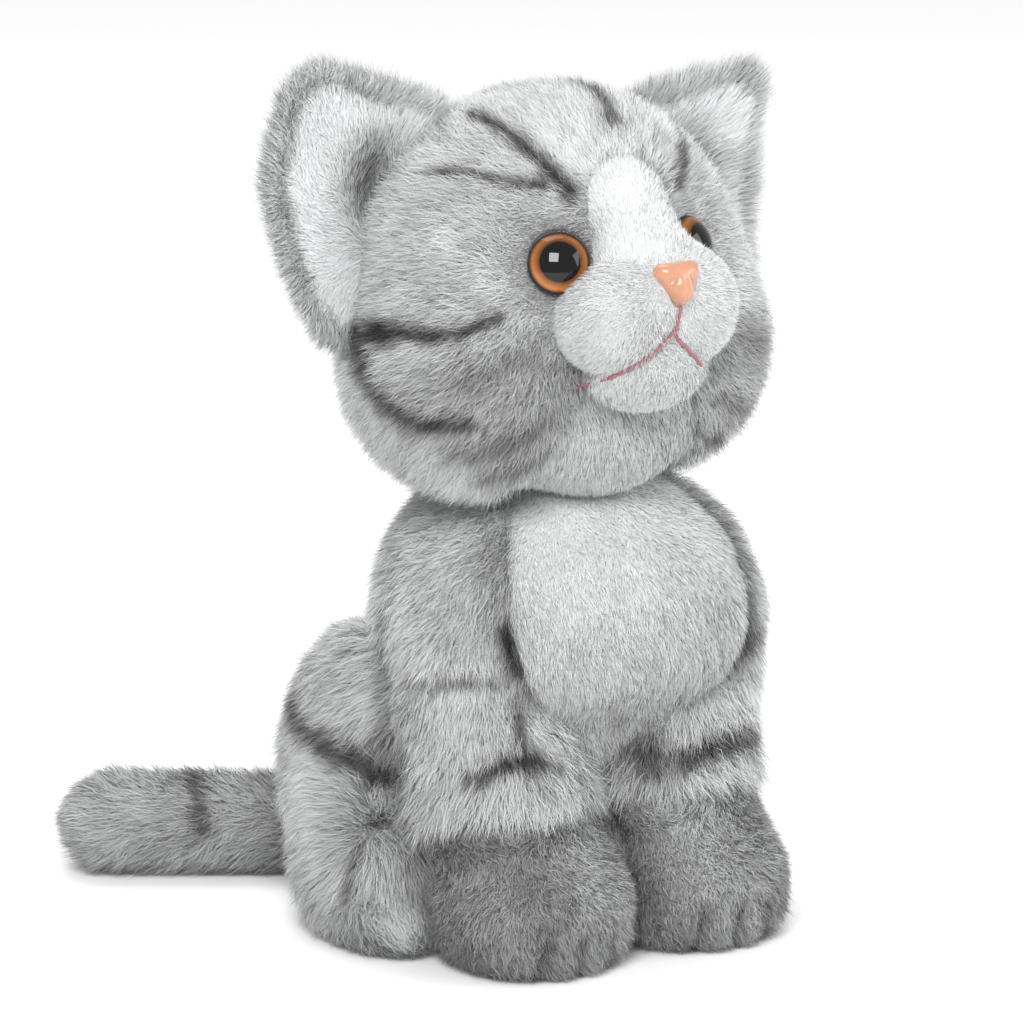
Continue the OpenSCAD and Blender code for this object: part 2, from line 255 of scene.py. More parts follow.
def cube_ball(n):
    """Even directions through a ball and the quads between them, n to each edge of a cube."""
    line = np.tan(np.linspace(-1, 1, n + 1) * math.pi / 4)
    u, v = (a.ravel() for a in np.meshgrid(line, line, indexing="ij"))
    one = np.ones_like(u)
    sheets = [(one, u, v), (-one, v, u), (v, one, u), (u, -one, v), (u, v, one), (v, u, -one)]
    points = np.concatenate([np.stack(s, 1) for s in sheets])
    i, j = (a.ravel() for a in np.meshgrid(np.arange(n), np.arange(n), indexing="ij"))
    corner = i * (n + 1) + j
    quad = np.stack([corner, corner + n + 1, corner + n + 2, corner + 1], 1)
    quads = np.concatenate([quad + k * (n + 1) ** 2 for k in range(6)])
    _, first, place = np.unique(points.round(6), axis=0, return_index=True, return_inverse=True)
    return unit(points[first]), place.ravel()[quads]


def surface(solid, centre, n, axis=(0, 0, 1), stretch=1.0, reach=140.0):
    """The surface of a solid as seen from its centre, as (points, triangles) that face outward."""
    centre = np.array(centre)
    ways, quads = cube_ball(n)
    axis = unit(np.array(axis, float))
    ways = unit(ways + (stretch - 1) * (ways @ axis)[:, None] * axis)
    low, high = np.zeros(len(ways)), np.full(len(ways), reach)
    for _ in range(22):
        mid = (low + high) / 2
        inside = solid(centre + ways * mid[:, None]) < 0
        low, high = np.where(inside, mid, low), np.where(inside, high, mid)
    points = centre + ways * low[:, None]
    tris = np.concatenate([quads[:, [0, 1, 2]], quads[:, [0, 2, 3]]])
    wrong = dot(flat_normals(points, tris), points[tris[:, 0]] - centre) < 0
    tris[wrong] = tris[wrong][:, ::-1]
    return points, tris


def clipped(shape, value):
    """The part of a shape where value, one number for each point, is negative."""
    points, tris = shape
    inside = value < 0
    count = inside[tris].sum(1)

    def odd_first(chosen, state):
        t = tris[chosen]
        k = np.argmax(inside[t] == state, axis=1)
        return t[np.arange(len(t))[:, None], (k[:, None] + np.arange(3)) % 3]

    one, two = odd_first(count == 1, True), odd_first(count == 2, False)
    pairs = np.concatenate([one[:, [0, 1]], one[:, [0, 2]], two[:, [0, 1]], two[:, [0, 2]]])
    ends, place = np.unique(np.sort(pairs, axis=1), axis=0, return_inverse=True)
    place = place.ravel() + len(points)
    a, b = ends.T
    share = value[a] / (value[a] - value[b])
    cuts = points[a] + share[:, None] * (points[b] - points[a])
    p1, p2, p3, p4 = np.split(place, np.cumsum([len(one), len(one), len(two)]))
    new = [
        tris[count == 3],
        np.stack([one[:, 0], p1, p2], 1),
        np.stack([p3, two[:, 1], two[:, 2]], 1),
        np.stack([p3, two[:, 2], p4], 1),
    ]
    used, new_tris = np.unique(np.concatenate(new), return_inverse=True)
    return np.concatenate([points, cuts])[used], new_tris.reshape(-1, 3)


def panel(shape, *rules):
    """A shape cut down by each rule in turn, a function of its points that is negative on the panel."""
    for rule in rules:
        shape = clipped(shape, rule(shape[0]))
    return shape


def flat_normals(points, tris):
    """The normal of each triangle, twice its area long."""
    a, b, c = (points[tris[:, i]] for i in range(3))
    return np.cross(b - a, c - a)


def normals_of(shape):
    """The outward normal at each point of a shape."""
    points, tris = shape
    flat = flat_normals(points, tris)
    total = np.zeros_like(points)
    for i in range(3):
        np.add.at(total, tris[:, i], flat)
    return unit(total)


def round_outline(circles, centre):
    """A function of points in a plane: their distance outside the band round some circles."""
    ways = np.linspace(0, TAU, 720, endpoint=False)
    out = np.stack([np.cos(ways), np.sin(ways)], 1)
    centre = np.array(centre, float)
    reach = np.max([(np.array([x, z]) - centre) @ out.T + r for x, z, r in circles], axis=0)
    lean = np.cos(ways[:, None] - ways[None, :])
    radius = np.min(np.where(lean > 0.05, reach[:, None] / np.maximum(lean, 0.05), 1e9), axis=0)

    def rim(angle):
        return np.interp(angle % TAU, np.append(ways, TAU), np.append(radius, radius[0]))

    def outside(points):
        q = points - centre
        return length(q) - rim(np.arctan2(q[:, 1], q[:, 0]))

    outside.rim = rim
    outside.centre = centre
    return outside


# ---- Materials ----

# Linear colours for even steps of tone, a little cooler near white
GREY_STEPS = [
    (0.0, 0.0), (0.2, 0.033), (0.4, 0.133), (0.6, 0.319),
    (0.8, (0.598, 0.606, 0.607)), (1.0, (0.982, 1.0, 1.0)),
]


class Nodes:
    """A material and short ways to add nodes to it."""

    def __init__(self, name, **sockets):
        self.material = bpy.data.materials.new(name)
        self.material.use_nodes = True
        self.tree = self.material.node_tree
        self.shader = self.tree.nodes["Principled BSDF"]
        for key, value in sockets.items():
            self.shader.inputs[key.replace("_", " ").title().replace("Ior", "IOR")].default_value = value

    def add(self, kind, inputs=None, **settings):
        node = self.tree.nodes.new("ShaderNode" + kind)
        for key, value in settings.items():
            setattr(node, key, value)
        for key, value in (inputs or {}).items():
            self.put(value, node.inputs[key])
        return node

    def put(self, value, socket):
        if isinstance(value, bpy.types.NodeSocket):
            self.tree.links.new(value, socket)
        else:
            socket.default_value = value

    def math(self, operation, a, b=0.0, c=0.0):
        return self.add("Math", {0: a, 1: b, 2: c}, operation=operation).outputs[0]

    def ramp(self, value, stops):
        """Colours between stops of (position, grey or colour)."""
        node = self.add("ValToRGB", {0: value})
        marks = node.color_ramp.elements
        while len(marks) < len(stops):
            marks.new(0.5)
        for mark, (position, colour) in zip(marks, stops):
            mark.position = position
            mark.color = (*((colour,) * 3 if isinstance(colour, float) else colour), 1)
        return node.outputs[0]

    def times(self, colour, factor):
        """A colour multiplied by a number or by another colour."""
        return self.add("VectorMath", {0: colour, 1: factor}, operation="MULTIPLY").outputs[0]

    def noise(self, scale, detail=2.0, vector=None):
        inputs = {"Scale": scale, "Detail": detail}
        inputs["Vector"] = vector or self.add("TexCoord").outputs["Object"]
        return self.add("TexNoise", inputs).outputs["Fac"]

    def bump(self, height, distance, strength=1.0):
        node = self.add("Bump", {"Height": height, "Distance": distance, "Strength": strength})
        self.put(node.outputs[0], self.shader.inputs["Normal"])


def fibre_material():
    """Pile fibre: across its map it runs from black to white, and up its map from root to tip, its root
    darker as painted shade.
    """
    m = Nodes("pile_fibre", roughness=0.8, specular_ior_level=0.15, sheen_weight=0.25, sheen_roughness=0.4)
    place = m.add("SeparateXYZ", {0: m.add("UVMap", uv_map="OFBake").outputs[0]})
    tone = m.ramp(place.outputs[0], GREY_STEPS)
    # Painted shade deep in the pile: each fibre darkens from its tip down to its root
    along = m.ramp(place.outputs[1], [(0.0, 0.5), (1.0, 1.0)])
    m.put(m.times(tone, along), m.shader.inputs["Base Color"])
    return m.material


def backing_material():
    """The knitted backing that shows between the fibres: its tone is stored on the mesh."""
    m = Nodes("knit_backing", roughness=0.95, specular_ior_level=0.1, sheen_weight=0.2)
    tone = m.ramp(m.add("Attribute", attribute_name="tone").outputs["Fac"], GREY_STEPS)
    knit = m.math("MULTIPLY_ADD", m.noise(900.0), 0.5, 0.5)
    m.put(m.times(tone, knit), m.shader.inputs["Base Color"])
    m.bump(m.noise(1400.0), 0.0004, 0.6)
    return m.material


def cloth_material(name, colour):
    """A plain woven cotton."""
    m = Nodes(name, roughness=0.9, specular_ior_level=0.2)
    place = m.add("TexCoord").outputs["Object"]
    weave = [
        m.add("TexWave", {"Vector": place, "Scale": 350.0}, bands_direction=way).outputs["Fac"]
        for way in ("X", "Z")
    ]
    height = m.math("ADD", *weave)
    light = m.math("MULTIPLY_ADD", height, 0.12, 0.85)
    m.put(m.times(colour, light), m.shader.inputs["Base Color"])
    m.bump(height, 0.0003, 0.5)
    return m.material


def plastic_material(name, colour, roughness, coat=0.0):
    """Moulded plastic with a faint mottled finish."""
    m = Nodes(name, coat_weight=coat, coat_roughness=0.05)
    mottle = m.noise(260.0, 4.0)
    m.put(m.times(colour, m.math("MULTIPLY_ADD", mottle, 0.16, 0.92)), m.shader.inputs["Base Color"])
    m.put(m.math("MULTIPLY_ADD", mottle, 0.1, roughness), m.shader.inputs["Roughness"])
    return m.material


# What the map of an eye spans, and its colours from the pupil's middle to the rim
EYE_SPAN = 16
IRIS = [
    (0.0, (0.002, 0.002, 0.003)), (0.635, (0.002, 0.002, 0.002)), (0.67, (0.11, 0.035, 0.008)),
    (0.76, (0.25, 0.085, 0.016)), (0.86, (0.36, 0.135, 0.030)), (0.92, (0.16, 0.05, 0.014)),
    (0.96, (0.008, 0.005, 0.004)),
]


def eye_material():
    """A glossy eye: its map is centred on the pupil."""
    coat = dict(coat_weight=1.0, coat_roughness=0.01, coat_ior=1.45)
    m = Nodes("eye_amber", roughness=0.3, specular_ior_level=0.0, **coat)
    place = m.add("UVMap", uv_map="OFBake").outputs[0]
    middle = m.add("VectorMath", {0: place, 1: (0.5, 0.5, 0)}, operation="SUBTRACT").outputs[0]
    radius = m.add("VectorMath", {0: middle}, operation="LENGTH").outputs["Value"]
    across = m.math("MULTIPLY", radius, 2 * EYE_SPAN / EYE_D)
    parts = m.add("SeparateXYZ", {0: middle})
    angle = m.math("ARCTAN2", parts.outputs[1], parts.outputs[0])
    rays = m.add("CombineXYZ", {0: m.math("COSINE", angle), 1: m.math("SINE", angle), 2: across})
    streak = m.noise(9.0, 3.0, rays.outputs[0])
    iris = m.ramp(across, IRIS)
    light = m.math("MULTIPLY_ADD", streak, 0.5, 0.75)
    # Painted shade and light: the iris is darker at its top, under the brow, and lighter at its bottom, where
    # light gathers through the dome
    low = m.math("MULTIPLY_ADD", parts.outputs[1], -0.9, 1.0)
    m.put(m.times(m.times(iris, light), low), m.shader.inputs["Base Color"])
    return m.material


FIBRE = fibre_material()
BACKING = backing_material()
FILL = cloth_material("fibre_fill", (0.86, 0.86, 0.82))
POUCH = cloth_material("pouch_cloth", (0.26, 0.35, 0.48))
EYE = eye_material()
BLACK = plastic_material("moulded_black", (0.008, 0.007, 0.007), 0.25, 0.6)
WHITE_PLASTIC = plastic_material("moulded_white", (0.8, 0.8, 0.78), 0.4)
NOSE = plastic_material("nose_vinyl", (0.50, 0.235, 0.14), 0.27, 0.5)
PINK = plastic_material("thread_pink", (0.34, 0.12, 0.14), 0.8)
DARK_THREAD = plastic_material("thread_dark", (0.06, 0.06, 0.065), 0.6)
GREY_THREAD = plastic_material("thread_grey", (0.35, 0.35, 0.36), 0.6)


# ---- Meshes ----


def linked(name, data):
    """A new object, linked into the scene."""
    thing = bpy.data.objects.new(name, data)
    bpy.context.scene.collection.objects.link(thing)
    return thing


def new_object(name, mesh, material, body, replaced=()):
    mesh.materials.append(material)
    thing = linked(name, mesh)
    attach(thing, body)
    if replaced:
        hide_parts(*replaced)
    return thing


def new_mesh(name, points, loops, starts):
    """A mesh of points in millimetres, and faces as one run of corners and where each face starts in it."""
    mesh = bpy.data.meshes.new(name)
    mesh.vertices.add(len(points))
    mesh.vertices.foreach_set("co", (points * MM).astype(np.float32).ravel())
    mesh.loops.add(len(loops))
    mesh.loops.foreach_set("vertex_index", loops.astype(np.int32))
    mesh.polygons.add(len(starts))
    mesh.polygons.foreach_set("loop_start", starts.astype(np.int32))
    mesh.polygons.foreach_set("use_smooth", np.ones(len(starts), bool))
    mesh.update(calc_edges=True)
    return mesh


def shape_mesh(name, shape):
    points, tris = shape
    return new_mesh(name, points, tris.ravel(), np.arange(0, tris.size, tris.shape[1]))


def add_skin(name, body, shape, tone, replaced, thickness):
    """A sewn panel: its surface, with the cloth's thickness behind it when one is given."""
    mesh = shape_mesh(name, shape)
    shade = mesh.attributes.new("tone", "FLOAT", "POINT")
    shade.data.foreach_set("value", (tone * (0.8 + 0.19 * step(0.8, 0.95, tone))).astype(np.float32))
    skin = new_object(name, mesh, BACKING, body, replaced)
    if thickness:
        depth = skin.modifiers.new("cloth", "SOLIDIFY")
        depth.thickness = thickness * MM
        depth.offset = -1


def add_fill(name, body, shape, replaced, material=FILL):
    """The stuffing inside a form: its surface, drawn in under the cloth."""
    points, tris = shape
    inner = points - normals_of(shape) * 1.8
    fill = new_object(name, shape_mesh(name, (inner, tris)), material, body, replaced)


# Pile: length of its fibres, fibres per square millimetre, how far they stand up from the cloth (0 to 1),
# how much they bend along the comb and down, size and pull of the locks, looseness and width of each fibre,
# how far the cloth's own normal softens its light, and how light its root is: painted shade deep in the pile.
COAT_PARTS = ("length", "density", "lift", "bend", "droop", "lock", "pull", "loose", "width", "soft", "root")
COATS = {
    "long": (8.5, 7.0, 0.5, 0.5, 0.25, 3.6, 0.42, 0.24, 0.17, 0.65, 0.62),
    "coat": (7.0, 7.0, 0.48, 0.5, 0.15, 2.8, 0.3, 0.25, 0.16, 0.7, 0.64),
    "head": (5.4, 8.0, 0.5, 0.45, 0.1, 2.2, 0.2, 0.28, 0.155, 0.74, 0.66),
    "crown": (4.6, 9.0, 0.45, 0.5, 0.0, 2.0, 0.18, 0.25, 0.155, 0.85, 0.82),
    "white": (3.2, 11.0, 0.38, 0.5, 0.05, 2.0, 0.1, 0.13, 0.17, 0.95, 0.96),
    "face": (2.2, 14.0, 0.45, 0.4, 0.0, 1.5, 0.08, 0.17, 0.16, 0.96, 0.97),
    "ear": (7.2, 9.0, 0.4, 0.45, 0.02, 2.6, 0.2, 0.15, 0.14, 0.8, 0.78),
    "lining": (4.6, 11.0, 0.24, 0.6, 0.0, 2.4, 0.12, 0.1, 0.17, 0.95, 0.95),
    "paw": (4.0, 9.0, 0.6, 0.4, 0.1, 1.8, 0.25, 0.28, 0.17, 0.7, 0.66),
}
# The most fibres that one piece of pile holds
PIECE = 60000
# A fibre is a quad from its root to its middle and a triangle to its tip
STRAND = np.array([0, 1, 3, 2, 2, 3, 4])
# The share of fibres that are darker than the rest
DARK_SHARE = 0.16


def add_pile(name, body, shape, coat, comb, tone, size=None):
    """Covers a shape with fibres. comb, tone and size are functions of the roots: which way the fibres lie,
    how light they are, and how long as a share of the coat's length, where less than a fifth leaves the
    cloth bare."""
    coat = dict(zip(COAT_PARTS, COATS[coat]))
    rng = np.random.default_rng(list(name.encode()))
    points, tris = shape
    normals = normals_of(shape)
    area = length(flat_normals(points, tris)) / 2
    count = int(area.sum() * coat["density"])
    pick = tris[rng.choice(len(tris), count, p=area / area.sum())]
    u, v = rng.random((2, count))
    u, v = np.where(u + v > 1, 1 - u, u), np.where(u + v > 1, 1 - v, v)
    share = np.stack([1 - u - v, u, v], 1)[:, :, None]
    root = (points[pick] * share).sum(1)
    normal = unit((normals[pick] * share).sum(1))
    long = np.ones(count) if size is None else size(root)
    kept = long > 0.2
    root, normal, long = root[kept], normal[kept], long[kept]
    count = len(root)

    way = comb(root)
    way = unit(way - dot(way, normal)[:, None] * normal)
    across = np.cross(normal, way)
    sway = ripple(root, 11.0, 11) * 0.22 + ripple(root, 4.0, 12) * 0.1
    way = unit(way + across * sway[:, None])
    jitter = rng.normal(size=(2, count, 3)) * coat["loose"]
    d1 = unit(normal * coat["lift"] + way * (1 - coat["lift"]) + jitter[0])
    d2 = unit(d1 + way * coat["bend"] + DOWN * coat["droop"] + jitter[1] * 1.4)
    long = long * coat["length"] * np.clip(rng.normal(0.95, 0.14, count), 0.5, 1.3)
    root = root - normal * 0.4
    mid = root + d1 * long[:, None] * 0.5
    tip = mid + d2 * long[:, None] * 0.5

    locks = rng.choice(count, max(int(area.sum() / coat["lock"] ** 2), 1), replace=False)
    tree = KDTree(len(locks))
    for i, place in enumerate(root[locks].tolist()):
        tree.insert(place, i)
    tree.balance()
    lock = np.array([tree.find(place)[1] for place in root.tolist()])
    leader = locks[lock]
    pull = (coat["pull"] * rng.uniform(0.4, 1.2, count))[:, None]
    tip = tip + (tip[leader] - tip) * pull
    mid = mid + (mid[leader] - mid) * pull * 0.35
    mid[:, 2] = np.maximum(mid[:, 2], 0.3)
    tip[:, 2] = np.maximum(tip[:, 2], 0.2)

    flat = unit(np.cross(normal + rng.normal(size=(count, 3)) * 0.7, tip - root))
    flat *= coat["width"] / 2 * rng.uniform(0.75, 1.25, count)[:, None]
    facing = unit(np.cross(flat, tip - root))
    away = dot(facing, normal) < 0
    flat[away] *= -1
    facing[away] *= -1
    verts = np.stack([root - flat, root + flat, mid - flat * 0.8, mid + flat * 0.8, tip], 1)
    verts[:, :, 2] = np.maximum(verts[:, :, 2], 0.1)

    lean = (mid + tip) / 2 - root
    shade = tone(root + lean - dot(lean, normal)[:, None] * normal)
    grain = np.clip((0.95 - shade) / 0.2, 0.12, 1)
    shade = shade * (1 + grain * (rng.normal(0, 0.07, count) + rng.normal(0, 0.03, len(locks))[lock]))
    shade = np.where(rng.random(count) < DARK_SHARE, shade * (1 - 0.34 * grain), shade)
    shade = np.clip(shade, 0.03, 0.985)
    uv = np.empty((count, 7, 2), np.float32)
    uv[:, :, 0] = shade[:, None] + np.array([-1, 1, 1, -1, -1, 1, 0]) * 0.003
    # The root and middle sit low on the map, where the painted shade of the pile darkens them
    root_shade_v = 2 * coat["root"] - 0.99
    half_v = (root_shade_v + 1) / 2
    uv[:, :, 1] = [root_shade_v, root_shade_v, half_v, half_v, half_v, half_v, 0.99]
    soft = unit(normal * coat["soft"] + facing * (1 - coat["soft"]) + rng.normal(size=(count, 3)) * 0.06)

    order = np.argsort(root[:, 2], kind="stable")
    for i, part in enumerate(np.array_split(order, math.ceil(count / PIECE))):
        add_fibres(f"{name}_{i + 1}", body, verts[part], uv[part], soft[part])


def add_fibres(name, body, verts, uv, soft):
    """One piece of pile: five points, seven corners and one normal for each fibre."""
    count = len(verts)
    loops = (np.arange(count)[:, None] * 5 + STRAND).ravel()
    starts = (np.arange(count)[:, None] * 7 + [0, 4]).ravel()
    mesh = new_mesh(name, verts.reshape(-1, 3), loops, starts)
    mesh.uv_layers.new(name="OFBake").data.foreach_set("uv", uv.ravel())
    bent = mesh.attributes.new("custom_normal", "FLOAT_VECTOR", "POINT")
    bent.data.foreach_set("vector", np.repeat(soft, 5, 0).astype(np.float32).ravel())
    new_object(name, mesh, FIBRE, body)


def sew(name, body, replaced, shape, coat, comb, tone, size=None, cloth_tone=None, thickness=1.4):
    """A panel with its pile. Without a coat it stays bare, and cloth_tone is for cloth unlike its fur."""
    add_skin("skin_" + name, body, shape, (cloth_tone or tone)(shape[0]), replaced, thickness)
    if coat:
        add_pile("pile_" + name, body, shape, coat, comb, tone, size)


# ---- Markings: airbrushed stripes as lines through the fur, and a few lines of painted shade ----

# Each is its half widths at both ends, how dark it is from 0 to 1, and its points. The head's are in the
# head's own frame. Those in a table of pairs are on both sides.
HEAD_MARKS = [
    (1.2, 1.9, 0.7, [(6, -12, 44.5), (5, -22, 41.5), (3, -29, 38), (1, -34, 33.5)]),
    (1.2, 1.8, 0.72, [
        (-21, -9, 40.5), (-20, -18, 36), (-19, -27, 30.5), (-17.5, -34, 25.5), (-15.5, -39, 19),
    ]),
    (0.8, 1.4, 0.6, [(-35, -9, 27), (-30, -20, 25.5), (-25, -29, 22.5), (-19, -34, 21)]),
    (1.2, 1.7, 0.72, [(27, -20, 31), (22, -30, 26), (16, -37, 21), (13, -39, 17)]),
    (3.0, 2.4, 0.75, [(-46, 13, -6), (-47, 4, -9), (-47, -6, -10)]),
    (2.2, 1.1, 0.68, [(-47, -6, -10), (-44, -18, -12), (-41, -23, -12), (-35, -30, -9)]),
    (2.8, 1.4, 0.74, [(-48, 2, -12), (-48, -2, -20), (-45, -9, -27), (-39, -19, -30)]),
    (3.0, 2.2, 0.75, [(46, 16, -6), (47, 7, -9), (47, 0, -10)]),
    (2.8, 1.6, 0.74, [(48, 6, -12), (48, 0, -20), (46, -4, -26)]),
]
HEAD_PAIRS = [
    (3.0, 3.0, 0.2, [(-38, -22, -22), (-31, -29, -19)]),
    (3.0, 2.0, 0.28, [(-40, -14, -36), (-30, -24, -36), (-24, -28, -34)]),
    (1.6, 1.2, 0.5, [(-34, -12, -44), (-25, -22, -45), (-20, -26, -44)]),
]
BODY_MARKS = [
    (1.4, 3.2, 0.8, [(-34, -22, 86), (-34, -25, 79), (-31, -29, 73), (-27, -31, 71)]),
    (0.8, 1.2, 0.5, [(-46, -1, 70), (-41, -12, 72), (-36, -18, 73)]),
    (1.0, 1.7, 0.6, [(-33, -23, 69), (-33, -25, 63), (-32.5, -26, 57)]),
    (1.2, 2.8, 0.78, [(-41, -18, 49), (-37, -24, 52), (-34, -27, 54)]),
    (2.8, 1.0, 0.68, [(-34, -27, 54), (-28, -29, 53), (-23, -29, 51)]),
    (2.8, 2.2, 0.8, [(15, -30, 48), (22, -31, 49.5), (29, -28, 49.5), (36, -22, 48.5)]),
    (1.2, 2.2, 0.68, [(23, -27, 69), (30, -25, 72), (37, -18, 76)]),
    # Painted shade, not a stripe: the hollow between the chest's point and the left foreleg
    (5.0, 4.0, 0.5, [(1, -22, 53), (7, -28, 47)]),
    (1.2, 2.6, 0.55, [(34, -22, 86), (34, -25, 79), (33, -28, 75)]),
]
BODY_PAIRS = [
    (2.6, 2.2, 0.72, [(-50, 46, 54), (-54, 34, 51), (-54, 22, 50), (-53, 12, 49), (-49, 3, 47)]),
    # Painted shade, not a stripe: the dark line where each haunch meets the body beside the foreleg
    (2.4, 1.6, 0.3, [(-44, 12, 82), (-47, 12, 72), (-49, 10, 62), (-49, 5, 50)]),
    (1.6, 1.0, 0.6, [(-53, 6, 35), (-50, 0, 36)]),
    (2.0, 1.0, 0.35, [(-54, 14, 26), (-52, 16, 14), (-50, 14, 6)]),
]
TAIL_MARKS = [(2.2, 2.4, 0.5, [(-50, 101, 23), (-52, 97, 22), (-54, 93, 19), (-55, 89, 14)])]


def settled(line, solid):
    """The line drawn again as close points on the surface of a solid."""
    line = np.array(line, float)
    along = np.append(0, np.cumsum(length(np.diff(line, axis=0))))
    at = np.arange(0, along[-1] + 1, 1.5)
    points = np.stack([np.interp(at, along, line[:, i]) for i in range(3)], 1)
    for _ in range(5):
        d = solid(points)
        slope = np.stack([solid(points + 0.05 * axis) - d for axis in np.eye(3)], 1)
        points = points - d[:, None] * unit(slope)
    return points


def near_line(p, line, start, end):
    """Distance of each point from a row of close points, as a share of the width there."""
    best = np.full(len(p), 1e3)
    close = np.flatnonzero(((p > line.min(0) - 11) & (p < line.max(0) + 11)).all(1))
    if len(close):
        gaps = p[close][:, None].astype(np.float32) - line[None].astype(np.float32)
        width = np.linspace(start, end, len(line), dtype=np.float32)
        best[close] = np.sqrt(((gaps * gaps).sum(-1) / width**2).min(1))
    return best


def marked(p, tone, marks):
    """tone, darkened along some marks, with ragged edges."""
    ragged = 1.15 + 0.22 * ripple(p, 5.0, 21)
    flecks = np.clip(0.9 + 0.2 * ripple(p, 2.5, 22), 0.4, 1.15)
    for start, end, dark, line in marks:
        away = near_line(p, line, start, end) / ragged
        tone = tone * (1 - dark * flecks * bell(away))
    return tone


def marks_on(solid, marks, pairs=()):
    """Marks settled on a solid, and each of the pairs on both its sides."""
    for start, end, dark, line in pairs:
        marks = marks + [(start, end, dark, np.array(line) * [side, 1, 1]) for side in SIDES]
    return [(start, end, dark, settled(line, solid)) for start, end, dark, line in marks]


HEAD_MARKS = marks_on(face, HEAD_MARKS, HEAD_PAIRS)
BODY_MARKS = marks_on(trunk, BODY_MARKS, BODY_PAIRS)
TAIL_MARKS = marks_on(tail, TAIL_MARKS)
GREY, PALE, WHITE, PAW, TAIL_GREY = 0.855, 0.87, 0.915, 0.68, 0.80


def eye_spot(side):
    return FACE_SHIFT + EYE_POS * [side, 1, 1]


def head_tone(p):
    """Grey, paler on top, darker round the eyes, and darker under the cheeks with painted shade and mottling.
    """
    q = to_head(p)
    top = step(33, 14, abs(q[:, 0])) * step(20, 30, q[:, 2]) * step(14, -2, q[:, 1])
    tone = GREY + (PALE - GREY) * top * 0.8
    tone = tone + 0.025 * ripple(p, 14, 31) + 0.02 * ripple(p, 4, 36)
    tone = tone - sum(dent(q, eye_spot(side), 0.3, 9) for side in SIDES)
    # Painted shade under the cheeks, mixed with their real mottling
    tone = tone - 0.11 * step(-6, -28, q[:, 2]) * step(0, -22, q[:, 1])
    return marked(q, tone, HEAD_MARKS)


def forehead_tone(p):
    q = to_head(p)
    tone = PALE + 0.02 * ripple(p, 9, 32) + 0.02 * ripple(p, 3, 37)
    tone = tone + (GREY - tone) * step(-4, 12, q[:, 1])
    return marked(q, tone, HEAD_MARKS)


def white_tone(p):
    """White, greyer towards the chin and on the cat's left, both painted shade."""
    q = to_head(p)
    tone = WHITE - 0.01 - 0.015 * step(6, -4, q[:, 2]) - 0.035 * step(0, 14, q[:, 0])
    return tone + 0.01 * ripple(p, 8, 38)


# White darkened by a painted shade, for the chin and the throat that sit in shade under the head
def white_in_painted_shade(shade):
    return lambda p: WHITE - shade + 0.01 * ripple(p, 8, 38)


def body_tone(p):
    """Grey, lighter higher up, and a little darker near the ground as painted shadow by the floor."""
    tone = GREY - 0.015 + 0.05 * step(58, 78, p[:, 2]) - 0.04 * step(14, 2, p[:, 2])
    tone = tone + 0.025 * ripple(p, 14, 33) + 0.02 * ripple(p, 5, 39)
    return marked(p, tone, BODY_MARKS)


def painted_shade_by_legs(p, tone, sides=(LEFT, RIGHT), reach=5.0):
    """tone, with painted shade where fur lies close beside the lower part of the forelegs."""
    near = np.min([foreleg(p, side) for side in sides], axis=0)
    return tone * (1 - 0.34 * bell(np.maximum(near, 0) / reach) * step(64, 48, p[:, 2]))


def flank_tone(p):
    """Grey, darker along the edge of the white chest, with painted shade beside the forelegs."""
    edge = bell(bib_outline(p[:, [0, 2]]) / 5.0) * step(-4, -16, p[:, 1])
    return painted_shade_by_legs(p, body_tone(p) * (1 - 0.2 * edge))


def paw_tone(p):
    """Darker grey, darkest on the outside of the right paw."""
    return PAW + 0.07 * step(-34, -14, p[:, 0]) + 0.035 * ripple(p, 12, 34)


def tail_tone(p):
    """Grey, darkened towards the body by painted shade."""
    along = dot(p - TAIL_ROOT, unit(TAIL_TIP - TAIL_ROOT))
    tone = TAIL_GREY - 0.18 * step(62, 22, along) + 0.025 * ripple(p, 12, 35)
    return marked(p, tone, TAIL_MARKS)


def for_side(rule, side):
    """A rule of points and a side, for one side."""
    return lambda p: rule(p, side)


def constant(*way):
    return lambda p: np.tile(np.array(way, float), (len(p), 1))


def away_from(*centre):
    return lambda p: p - np.array(centre)


# ---- Head ----


def back_from_face(p):
    """Fur that fans out from the nose, back over the head and down the cheeks."""
    q = to_head(p)
    fan = q - np.array([0, -55, 0])
    fan[:, 2] -= 14 * step(10, -30, q[:, 2])
    return from_head(fan) - HEAD_POS


def clear_of_eyes(p):
    """Short fur round the eyes, none behind them, and longer fur low on the cheeks."""
    q = to_head(p)
    long = np.ones(len(p))
    for side in SIDES:
        away = length(q - eye_spot(side))
        long = np.minimum(long, np.where(away < 6.8, 0, 0.4 + 0.6 * step(7, 17, away)))
    return long * (1 + 0.35 * step(0, -20, q[:, 2]) * step(-30, -10, q[:, 1]))


def clear_of_nose(p):
    """No fur behind the nose."""
    away = length(to_head(p)[:, [0, 2]] - [NOSE_X, NOSE_Z])
    return np.where(away < 4.6, 0, 0.6 + 0.4 * step(5, 9, away))


def in_head(rule):
    return lambda p: rule(to_head(p))


def outside_neck(p):
    return NECK_ROOM_R - length(p - NECK_POS)


def outermost(part):
    """A rule for where one part of the head stands out past the others."""
    others = [form for form in (skull, muzzle, chin, bridge) if form is not part]
    return in_head(lambda q: part(q) - np.min([form(q) for form in others], axis=0))


def throat_rule(q):
    half = 15 + 0.6 * np.clip(-30 - q[:, 2], 0, 20)
    return np.maximum(np.maximum(abs(q[:, 0]) - half, q[:, 1]), q[:, 2] + 22)


def forehead_rule(q):
    return np.maximum(np.maximum(abs(q[:, 0]) - 16, q[:, 1] - 12), 22 - q[:, 2])


def back_rule(q):
    return np.maximum(abs(q[:, 0]) - 16, 12 - q[:, 1])


